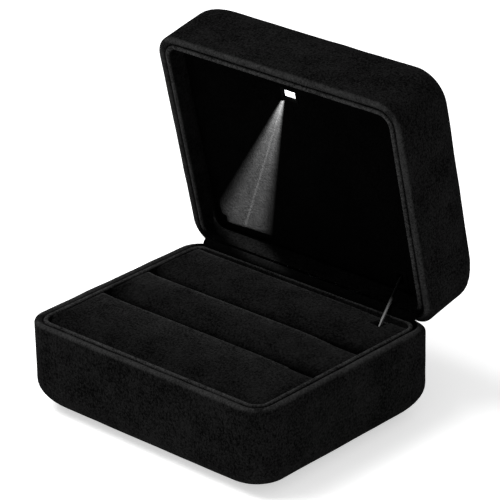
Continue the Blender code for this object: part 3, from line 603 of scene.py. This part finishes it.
def rim_profile(offset):
    """(inset, depth below the rim) pairs over the turned edge: a small bead, a flat, then the seam."""
    radius = RIM_BEAD - offset
    profile = []
    for step in range(ARC_STEPS + 1):
        angle = RIM_BEAD_END * step / ARC_STEPS
        profile.append((RIM_BEAD - radius * math.cos(angle), RIM_BEAD - radius * math.sin(angle)))
    flat = RIM_FLAT_DROP + offset
    profile.append((SEAM_INSET - SEAM_EDGE_WIDTH, flat))
    profile.append((SEAM_INSET - offset / 2, flat + SEAM_EDGE_DROP))
    profile.append((SEAM_INSET - offset / 2, SEAM_DEPTH))
    return profile


def rim_edge(row, rim_height, offset):
    """Rows over the rim, kept clear of the other half's rim behind the hinge."""
    rows = []
    for inset, depth in rim_profile(offset):
        height = rim_height - depth
        rows.append(row(0, inset, height, relief_limit(height, rim_height, offset)))
    return rows


def cover_rows(row, rim_height, fillet, offset):
    """Rows of one face of a cover, from the closed face's edge over the wall to the seam."""
    relief_start = rim_height - RIM_RELIEF
    rows = closed_edge(row, fillet, offset)
    rows += wall(row, fillet, relief_start, offset)
    rows.append(row(0, offset, relief_start))
    for step in range(1, RELIEF_STEPS):
        height = relief_start + (RIM_RELIEF - RIM_BEAD) * step / RELIEF_STEPS
        rows.append(row(0, offset, height, relief_limit(height, rim_height, offset)))
    return rows + rim_edge(row, rim_height, offset)


def closed_face(row, fillet, offset, inner, steps):
    """Rows across the closed face, from an inset inwards to the edge."""
    return [row(fillet, inner * (1 - step / steps), offset) for step in range(steps)]


def clear_of_hinge(rows, node, radius):
    """Push the points that lie too near the hinge axis, along a node on it, out to a radius."""
    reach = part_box(node)[1].x + BARREL_END_ROOM
    for point in [point for row in rows for point in row]:
        away = Vector((0, point.y - HINGE.y, point.z - HINGE.z))
        if abs(point.x) < reach and away.length < radius:
            out = away.normalized() * radius
            point.y, point.z = HINGE.y + out.y, HINGE.z + out.z
    return rows


def quiet_at_hinge(point):
    """0 near the hinge, where the rims pass close to each other, and 1 away from it."""
    away = (Vector((0, point.y, point.z)) - Vector((0, HINGE.y, HINGE.z))).length
    return climb(away, QUIET_RADIUS, QUIET_REACH)


def rim_sheen_highlight(point, depth):
    """How strong the painted sheen highlight is round a rim: most on the turned edge's bead."""
    inset = min(WIDTH / 2 - abs(point.x), DEPTH / 2 - abs(point.y))
    share = 1.0 if inset < BEAD_HIGHLIGHT_INSET else FLAT_HIGHLIGHT
    return share * bump_of(depth, BEAD_HIGHLIGHT_DEPTH)


def lip_sheen_highlight(depth):
    """How strong the painted sheen highlight is on a lining's lip."""
    return LIP_HIGHLIGHT * bump_of(depth, LIP_HIGHLIGHT_DEPTH)


def cover_skin(row, rim_height, fillet, inner_edge, steps, ring):
    """A cover's closed mesh: over its outer face to the seam, and back over its inner face."""
    faces = []
    for offset, room in ((0, BARREL_ROOM), (VELVET, BARREL_ROOM + VELVET / 2)):
        rows = closed_face(row, fillet, offset, inner_edge, steps)
        rows += cover_rows(row, rim_height, fillet, offset)
        faces.append(clear_of_hinge(rows, "hinge_pin", room))
    outer, inner = faces
    return skin(outer + inner[::-1], ring)


def build_base_cover():
    """The base's velvet: round the walls and rim, and under the box up to the underside plate."""
    inner_edge = UNDERSIDE_OPENING - BASE_FILLET
    mesh = cover_skin(base_row, BASE_RIM, BASE_FILLET, inner_edge, UNDERSIDE_STEPS, ring=True)
    # painted sheen highlight along the rim
    mark(mesh, "brushed", lambda p: rim_sheen_highlight(p, BASE_RIM - p.z))
    ripple(mesh, 3, lambda p: quiet_at_hinge(p) * climb(p.z, 0, QUIET_HEIGHT))
    add_piece("base_velvet", mesh, OUTER_VELVET, "base", ["base_cover"])


def build_lid_cover():
    """The lid's velvet: round the walls and rim, and over the whole closed face."""
    inner_edge = DEPTH / 2 - LID_FILLET - LID_TOP_CORE
    mesh = cover_skin(lid_row, LID_RIM, LID_FILLET, inner_edge, LID_TOP_STEPS, ring=False)
    # painted sheen highlight along the rim
    mark(mesh, "brushed", lambda p: rim_sheen_highlight(p, p.z - LID_LOW.z))
    ripple(mesh, 11, quiet_at_hinge)
    add_piece("lid_velvet", mesh, OUTER_VELVET, "lid", ["lid_cover"])


def lining_rows(row, rim_height, foot):
    """Rows of a lining: up its inner wall, over its round lip and down into the seam."""
    half = (LIP_INSIDE - LIP_OUTSIDE) / 2
    middle = (LIP_INSIDE + LIP_OUTSIDE) / 2
    rear_middle = DEPTH / 2 - REAR_LINER_FACE - REAR_LIP_HALF

    def lining_row(across, height):
        """across runs from -1 on the inner wall to 1 in the seam."""
        rear = DEPTH / 2 - rear_middle + REAR_LIP_HALF * across
        return row(0, middle - half * across, height, rear)

    top = rim_height - half
    inner = [lining_row(-1, foot + (top - foot) * step / LINING_STEPS) for step in range(LINING_STEPS)]
    lip = []
    for step in range(ARC_STEPS + 1):
        angle = math.radians(180) * step / ARC_STEPS
        lip.append(lining_row(-math.cos(angle), top + half * math.sin(angle)))
    outer = [lining_row(1, top - SEAM_DEPTH), lining_row(1, foot)]
    return inner + lip + outer


def build_linings():
    """The velvet frames inside both halves."""
    low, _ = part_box("base_liner")
    rows = clear_of_hinge(lining_rows(base_row, BASE_RIM, low.z), "hinge_cover", STRIP_ROOM)
    # painted sheen highlight along the lip
    mesh = mark(skin(rows, ring=True), "brushed", lambda p: lip_sheen_highlight(BASE_RIM - p.z))
    add_piece("base_lining", mesh, LINING_VELVET, "base", ["base_liner"])
    _, high = shut_box("lid_liner")
    rows = clear_of_hinge(lining_rows(lid_row, LID_RIM, SHUT_TOP - high.z), "hinge_cover", STRIP_ROOM)
    # painted sheen highlight along the lip
    mesh = mark(skin(rows, ring=True), "brushed", lambda p: lip_sheen_highlight(p.z - LID_LOW.z))
    # painted shade, darkening the lining towards the hinge
    mark(mesh, "sheltered", lambda p: climb(p.y, REAR_SHADE_START, REAR_SHADE_REACH))
    add_piece("lid_lining", mesh, LINING_VELVET, "lid", ["lid_liner"])


def build_underside():
    """The plate that closes the base underneath, covered with velvet and a little crowned inwards."""
    inset = UNDERSIDE_OPENING + PLATE_GAP - BASE_FILLET
    rows = [base_row(BASE_FILLET, inset + extra, height) for extra, height in PLATE_EDGE]
    for step in range(1, PLATE_STEPS + 1):
        share = step / PLATE_STEPS
        rows.append(base_row(BASE_FILLET, inset + PLATE_EDGE_WIDTH + PLATE_CROWN_WIDTH * share,
                             PLATE_CROWN * share))
    add_piece("underside_velvet", skin(rows), OUTER_VELVET, "base", ["underside_plate"])


def build_hinge_strip():
    """The velvet strip that hides the barrel, bent round it."""
    low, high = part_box("hinge_cover")
    outer = HINGE.y - low.y
    inner = outer - STRIP_THICKNESS
    angles = [STRIP_START + (STRIP_END - STRIP_START) * step / STRIP_ARC_STEPS
              for step in range(STRIP_ARC_STEPS + 1)]
    edge = [(outer, angle) for angle in angles] + [(inner, angle) for angle in reversed(angles)]
    rows = []
    for step in range(STRIP_STEPS + 1):
        x = high.x * (2 * step / STRIP_STEPS - 1)
        rows.append([Vector((x, HINGE.y + radius * math.cos(angle), HINGE.z + radius * math.sin(angle)))
                     for radius, angle in edge])
    add_piece("hinge_strip", skin(rows), PANEL_VELVET, "base", ["hinge_cover"])


# ---- padded pieces ------------------------------------------------------------------------------

SIM_SCALE = 6.0
VOXEL = 0.85 * MM
CLOTH_FRAMES = 20


def swell(mesh, pressure, limit, held):
    """Fabric blown over foam: remesh, Cloth under pressure, no point further than limit, subdivide.

    The simulation runs on a copy SIM_SCALE times larger, where Cloth behaves well. held says which
    points stay where they are.
    """
    mesh.transform(Matrix.Scale(SIM_SCALE, 4))

    def add_remesh(carrier):
        modifier = carrier.modifiers.new("remesh", "REMESH")
        modifier.mode = "VOXEL"
        modifier.voxel_size = VOXEL * SIM_SCALE

    mesh = applied(mesh, add_remesh)
    mesh = blown(mesh, pressure, limit * SIM_SCALE, lambda point: held(point / SIM_SCALE))

    def add_subdivision(carrier):
        modifier = carrier.modifiers.new("smooth", "SMOOTH")
        modifier.iterations = 2
        modifier = carrier.modifiers.new("subdivision", "SUBSURF")
        modifier.levels = 1

    mesh = applied(mesh, add_subdivision)
    mesh.transform(Matrix.Scale(1 / SIM_SCALE, 4))
    return mesh


def blown(mesh, pressure, limit, held):
    """The mesh after CLOTH_FRAMES frames of Cloth under pressure, with each move capped."""
    carrier = add_object("carrier", mesh)
    group = carrier.vertex_groups.new(name="held")
    group.add([vertex.index for vertex in mesh.vertices if held(vertex.co)], 1.0, "REPLACE")
    start = np.array([vertex.co for vertex in mesh.vertices])
    modifier = carrier.modifiers.new("cloth", "CLOTH")
    settings = modifier.settings
    settings.vertex_group_mass = "held"
    settings.use_pressure = True
    settings.uniform_pressure_force = pressure
    settings.effector_weights.gravity = 0
    settings.quality = 6
    modifier.point_cache.frame_start = 1
    modifier.point_cache.frame_end = CLOTH_FRAMES
    for number in range(1, CLOTH_FRAMES + 1):
        bpy.context.scene.frame_set(number)
    evaluated = carrier.evaluated_get(bpy.context.evaluated_depsgraph_get())
    end = np.array([vertex.co for vertex in evaluated.data.vertices])
    bpy.data.objects.remove(carrier)
    bpy.context.scene.frame_set(1)
    move = end - start
    length = np.linalg.norm(move, axis=1, keepdims=True)
    move *= np.minimum(1, limit / np.maximum(length, 1e-9))
    mesh.vertices.foreach_set("co", (start + move).astype(np.float32).ravel())
    mesh.update()
    return mesh


PAD_PRESSURE = 4.0
PAD_SWELL = 0.5 * MM
PAD_FOOT = 1.0 * MM
PAD_START_INSET = 0.35 * MM
PAD_RISE = 1.5 * MM
PAD_END_REACH = 1.4 * MM
PAD_FRONT_RADIUS = 1.7 * MM
PAD_CREST_RADIUS = 0.55 * MM
PAD_CORNER_RADIUS = 3.2 * MM
PAD_FRONT_DROP = 1.7 * MM
PAD_LEFT_FADE = 0.08
PAD_RIGHT_DROP = 1.0 * MM
PAD_RIGHT_FADE = 0.45
PAD_HALF_STEPS = 24
PAD_ARC_STEPS = 6
SLOT_LEFT_OPEN = 1.4 * MM
BRACKET_ROOM = 0.4 * MM
ROD_ROOM = 0.35 * MM
ROD_SLOT_FRONT = 1.2 * MM
CUT_OVERSHOOT = 3 * MM

# painted sheen highlight along the rolls' crests and up their slopes
CREST_INSET = 0.9 * MM
CREST_WIDTH = 1.3 * MM
CREST_DEPTH = 2.8 * MM
CREST_HIGHLIGHT = 0.7
CREST_FADE = 0.6
SLOPE_HIGHLIGHT = 0.3
# painted shade behind each crest and deep in the slots
SHADE_WIDTH = 2.6 * MM
SHADE_DEPTH = 0.9
SLOT_DARK_START = 2.2 * MM
SLOT_DARK_REACH = 1.5 * MM

PANEL_PRESSURE = 2.0
PANEL_SWELL = 0.08 * MM
PANEL_GAP = 0.2 * MM
PANEL_FOOT = 0.4 * MM
PANEL_EDGE = [(0.9 * MM, 0.0), (0.35 * MM, 0.12 * MM), (0.08 * MM, 0.4 * MM), (0.0, 0.8 * MM),
              (0.1 * MM, 1.6 * MM)]
BEZEL_ROOM = 0.1 * MM
GUIDE_ROOM = 0.3 * MM


def pad_outline(front, crest, bottom, top, front_drop):
    """Side view of a roll as (y, z) pairs: it rises from its front to a crest at its back."""
    front_top = top - front_drop
    quarter = [math.radians(90) * step / PAD_ARC_STEPS for step in range(PAD_ARC_STEPS + 1)]
    crest_arc = [(crest - PAD_CREST_RADIUS * (1 - math.cos(angle)),
                  top - PAD_CREST_RADIUS * (1 - math.sin(angle))) for angle in quarter]
    front_arc = [(front + PAD_FRONT_RADIUS * (1 - math.sin(angle)),
                  front_top - PAD_FRONT_RADIUS * (1 - math.cos(angle))) for angle in quarter]
    return [(front, bottom), (crest, bottom)] + crest_arc + front_arc


def corner_shift(x, half_length, radius):
    """How far the lining's round front corner pushes a roll's front back at x."""
    reach = min(abs(x) - (half_length - radius), radius)
    if reach <= 0:
        return 0.0
    return radius - math.sqrt(radius ** 2 - reach ** 2)


def pad_rows(low, high, rounded_front):
    """Rows of a roll from its left end, where its front is full, to its lower right end."""
    half_length = high.x - PAD_START_INSET
    rows = []
    for step in range(-PAD_HALF_STEPS, PAD_HALF_STEPS + 1):
        share = math.sin(math.radians(90) * step / PAD_HALF_STEPS)
        x = half_length * share
        drop = PAD_RIGHT_DROP * max(0, (share - PAD_RIGHT_FADE) / (1 - PAD_RIGHT_FADE))
        front_drop = PAD_FRONT_DROP * min(1, (1 + share) / PAD_LEFT_FADE)
        front = low.y + PAD_START_INSET
        if rounded_front:
            front += corner_shift(x, half_length, PAD_CORNER_RADIUS)
        top = high.z - PAD_START_INSET - drop
        outline = pad_outline(front, high.y - PAD_START_INSET, low.z, top, front_drop)
        rows.append([Vector((x, y, z)) for y, z in outline])
    return rows


def crest_sheen_highlight(point, low, high):
    """How strong the painted sheen highlight is on a roll: a little towards the crest, most along the crest
    itself.
    """
    behind_front = climb(point.y, low.y, high.y - low.y)
    from_crest = point.y - (high.y - CREST_INSET)
    on_crest = bump_of(from_crest, CREST_WIDTH) * bump_of(high.z - point.z, CREST_DEPTH)
    fading = 1 - CREST_FADE * climb(point.x, 0, high.x)
    return fading * (SLOPE_HIGHLIGHT * behind_front ** 2 + CREST_HIGHLIGHT * on_crest)


def slot_painted_shade(point, low, high):
    """How much painted shade a point of a roll gets: behind the crest in front, and deep in a slot."""
    behind_crest = 1 - climb(point.y, low.y, SHADE_WIDTH)
    deep = climb(high.z - point.z, SLOT_DARK_START, SLOT_DARK_REACH)
    return max(SHADE_DEPTH * behind_crest, deep)


def build_pads():
    """The three rolls that grip the rings. With no ring in it, a slot is closed but for a line."""
    crest_in_front = None
    for name in ("ring_pad_front", "ring_pad_middle", "ring_pad_rear"):
        low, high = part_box(name)
        if crest_in_front is not None:
            low.y = crest_in_front + SLOT_LEFT_OPEN
        crest_in_front = high.y
        low.x -= PAD_END_REACH
        high.x += PAD_END_REACH
        high.z += PAD_RISE
        if name == "ring_pad_rear":
            high.y = REAR_LINER_FACE
        mesh = skin(pad_rows(low, high, name == "ring_pad_front"))
        mesh = swell(mesh, PAD_PRESSURE, PAD_SWELL, lambda point: point.z < low.z + PAD_FOOT)
        if name == "ring_pad_rear":
            mesh = cut(mesh, block_mesh(*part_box("rod_bracket"), BRACKET_ROOM))
            rod_low, rod_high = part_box("switch_rod")
            rod_low.y -= ROD_SLOT_FRONT
            rod_high.z = high.z + CUT_OVERSHOOT
            mesh = cut(mesh, block_mesh(rod_low, rod_high, ROD_ROOM))
        # painted sheen highlight along the crest
        mark(mesh, "brushed", lambda point: crest_sheen_highlight(point, low, high))
        # painted shade behind the crest in front and deep in the slot
        mark(mesh, "sheltered", lambda point: slot_painted_shade(point, low, high))
        pad = add_piece(name + "_velvet", mesh, LINING_VELVET, "base", [name])


def build_panel():
    """The thinly padded panel in the lid, cut out for the lamp's bezel and the rod's guide."""
    low, high = shut_box("lid_panel")
    rows = []
    for inset, height in PANEL_EDGE:
        gap = PANEL_GAP + inset
        outline = section(0, LIP_INSIDE + gap, REAR_LINER_FACE - gap)
        rows.append([Vector((x, y, low.z + height)) for x, y in outline])
    mesh = swell(skin(rows), PANEL_PRESSURE, PANEL_SWELL, lambda point: point.z > high.z - PANEL_FOOT)
    for node, margin in (("led_bezel", BEZEL_ROOM), ("rod_guide", GUIDE_ROOM)):
        hole_low, hole_high = shut_box(node)
        hole_low.z = low.z - CUT_OVERSHOOT
        hole_high.z = high.z + CUT_OVERSHOOT
        mesh = cut(mesh, block_mesh(hole_low, hole_high, margin))
    panel = add_piece("lid_panel_velvet", mesh, PANEL_VELVET, "lid", ["lid_panel"])


# ---- carried-over CAD nodes ---------------------------------------------------------------------

BROKEN_EDGE = 0.08 * MM


def finish_cad_nodes():
    """Give each CAD node that stays in view its finish and slightly broken edges."""
    slots = {part["node"]: part["material_slot"] for part in frame["record"]["subparts"]}
    for name, node in frame["nodes"].items():
        if slots[name] not in FINISHES:
            continue
        # the switch rod gets the steel with painted shade at its upper end
        node.material_slots[0].material = SHADED_ROD if name == "switch_rod" else FINISHES[slots[name]]
        bevel = node.modifiers.new("broken_edges", "BEVEL")
        bevel.width = BROKEN_EDGE
        bevel.segments = 2
        bevel.limit_method = "ANGLE"


# ---- lamp, studio and camera --------------------------------------------------------------------

BOX_CENTRE = (CAD_BOX[0] + CAD_BOX[1]) / 2

BEAM_LIFT = 1.5 * MM
BEAM_LEAN = math.radians(31)
BEAM_DIVE = math.radians(2)
BEAM_CONE = math.radians(70)
BEAM_EDGE = 0.08
LAMP_RADIUS = 0.1 * MM

WORLD_BRIGHTNESS = 0.42
FLOOR_RADIUS = 3.0
FLOOR_GLOW = 0.55

CAMERA_AZIMUTH = math.radians(42.84)
CAMERA_ELEVATION = math.radians(24.79)
CAMERA_ROLL = math.radians(-1.11)
CAMERA_DISTANCE = 9.5986 * WIDTH
CAMERA_TARGET = Vector((0.1054, -0.0118, 0.5844)) * WIDTH
CAMERA_SENSOR = 36
CAMERA_LENS = 225.45
CAMERA_NEAR = 0.01
CAMERA_FAR = 20


def way_to(azimuth, elevation):
    """The direction from the box towards a viewer or light. Azimuth 0 is the front, 90 degrees the right."""
    return Vector((math.sin(azimuth) * math.cos(elevation), -math.cos(azimuth) * math.cos(elevation),
                   math.sin(elevation)))


def look_along(item, direction):
    """Turn a light or camera so that it looks along a direction."""
    item.rotation_mode = "QUATERNION"
    item.rotation_quaternion = direction.to_track_quat("-Z", "Y")


def shape_fan(light, ray):
    """Shape a spot's light across its way, by the sideways slope, with a thin ray in the middle.

    The light keeps its strength with distance, and ray is how many times brighter the thin ray is.
    """
    light.use_nodes = True
    tree = light.node_tree

    def worked_out(operation, first, second):
        node = tree.nodes.new("ShaderNodeMath")
        node.operation = operation
        tree.links.new(first, node.inputs[0])
        tree.links.new(second, node.inputs[1])
        return node.outputs["Value"]

    spot_way = tree.nodes.new("ShaderNodeTexCoord").outputs["Normal"]
    split = tree.nodes.new("ShaderNodeSeparateXYZ")
    tree.links.new(spot_way, split.inputs["Vector"])
    slope = worked_out("DIVIDE", split.outputs["X"], split.outputs["Z"])
    across = tree.nodes.new("ShaderNodeMapRange")
    across.inputs["From Min"].default_value = -BEAM_EDGE
    across.inputs["From Max"].default_value = BEAM_EDGE
    tree.links.new(slope, across.inputs["Value"])
    fan = tree.nodes.new("ShaderNodeValToRGB")
    levels = [(0.0, 0), (0.12, 0.3), (0.3, 1), (0.46, 1), (0.485, ray), (0.51, 1), (0.72, 1),
              (0.88, 0.3), (1.0, 0)]
    fill_ramp(fan.color_ramp, [(position, grey(level)) for position, level in levels])
    tree.links.new(across.outputs["Result"], fan.inputs["Fac"])
    falloff = tree.nodes.new("ShaderNodeLightFalloff")
    falloff.inputs["Strength"].default_value = 1.0
    strength = worked_out("MULTIPLY", falloff.outputs["Constant"], fan.outputs["Color"])
    tree.links.new(strength, tree.nodes["Emission"].inputs["Strength"])


def light_only(lamp, names):
    """Let a lamp light only the named pieces."""
    receivers = bpy.data.collections.new(lamp.name + "_receivers")
    for name in names:
        receivers.objects.link(bpy.data.objects[name])
    lamp.light_linking.receiver_collection = receivers


def add_lamp_beam(name, power, ray, receivers):
    """A fan of light from the lamp, raking over the panel towards the hinge and leaning to the left."""
    low, high = shut_box("led_lens")
    place = Vector(((low.x + high.x) / 2, high.y, low.z - BEAM_LIFT))
    direction = Vector((-math.sin(BEAM_LEAN), math.cos(BEAM_LEAN), math.tan(BEAM_DIVE)))
    light = bpy.data.lights.new(name, "SPOT")
    light.energy = power
    light.spot_size = BEAM_CONE
    light.shadow_soft_size = LAMP_RADIUS
    shape_fan(light, ray)
    lamp = add_object(name, light)
    lamp.location = LID_OPEN @ place
    look_along(lamp, LID_OPEN.to_3x3() @ direction)
    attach(lamp, "lid")
    light_only(lamp, receivers)


def add_softbox(name, azimuth, elevation, distance, size, radiance):
    """A square area light aimed at the box, as bright as the radiance says."""
    light = bpy.data.lights.new(name, "AREA")
    light.shape = "SQUARE"
    light.size = size
    light.energy = radiance * math.pi * size ** 2
    softbox = add_object(name, light)
    away = way_to(azimuth, elevation)
    softbox.location = BOX_CENTRE + away * distance
    look_along(softbox, -away)


def build_world():
    """White surroundings."""
    world = bpy.data.worlds.new("studio")
    world.use_nodes = True
    background = world.node_tree.nodes["Background"]
    background.inputs["Color"].default_value = (*grey(1), 1)
    background.inputs["Strength"].default_value = WORLD_BRIGHTNESS
    bpy.context.scene.world = world


def build_floor():
    """A pale round floor under the box."""
    nodes = Nodes("pale_floor")
    nodes.join(nodes.ramp(nodes.grain(0.15), [(0.3, grey(0.88)), (0.7, grey(0.92))]),
               nodes.shader.inputs["Base Color"])
    nodes.set(Roughness=0.9, Specular_IOR_Level=0.1, Emission_Color=(*grey(1), 1),
              Emission_Strength=FLOOR_GLOW)
    shape = bmesh.new()
    bmesh.ops.create_circle(shape, cap_ends=True, segments=64, radius=FLOOR_RADIUS)
    mesh = bpy.data.meshes.new("floor")
    shape.to_mesh(mesh)
    shape.free()
    mesh.materials.append(nodes.material)
    floor = add_object("floor", mesh)
    floor.location.z = CAD_BOX[0].z


def build_camera():
    """The camera, at the angle that the object is looked at from."""
    back = way_to(CAMERA_AZIMUTH, CAMERA_ELEVATION)
    camera = add_object("camera", bpy.data.cameras.new("camera"))
    camera.data.sensor_width = CAMERA_SENSOR
    camera.data.lens = CAMERA_LENS
    camera.data.clip_start = CAMERA_NEAR
    camera.data.clip_end = CAMERA_FAR
    camera.location = CAMERA_TARGET + back * CAMERA_DISTANCE
    look_along(camera, -back)
    roll = Matrix.Rotation(CAMERA_ROLL, 3, "Z").to_quaternion()
    camera.rotation_quaternion = camera.rotation_quaternion @ roll
    bpy.context.scene.camera = camera


build_base_cover()
build_lid_cover()
build_linings()
build_underside()
build_hinge_strip()
build_pads()
build_panel()
finish_cad_nodes()
add_lamp_beam("lamp_beam", power=80000.0, ray=2.2, receivers=["lid_panel_velvet"])
add_lamp_beam("lamp_beam_end", power=300.0, ray=1.0, receivers=["lid_lining", "hinge_strip"])
build_world()
build_floor()
add_softbox("key", math.radians(-55), math.radians(60), distance=0.7, size=0.45, radiance=8.0)
build_camera()
bpy.context.scene.view_settings.view_transform = "Standard"
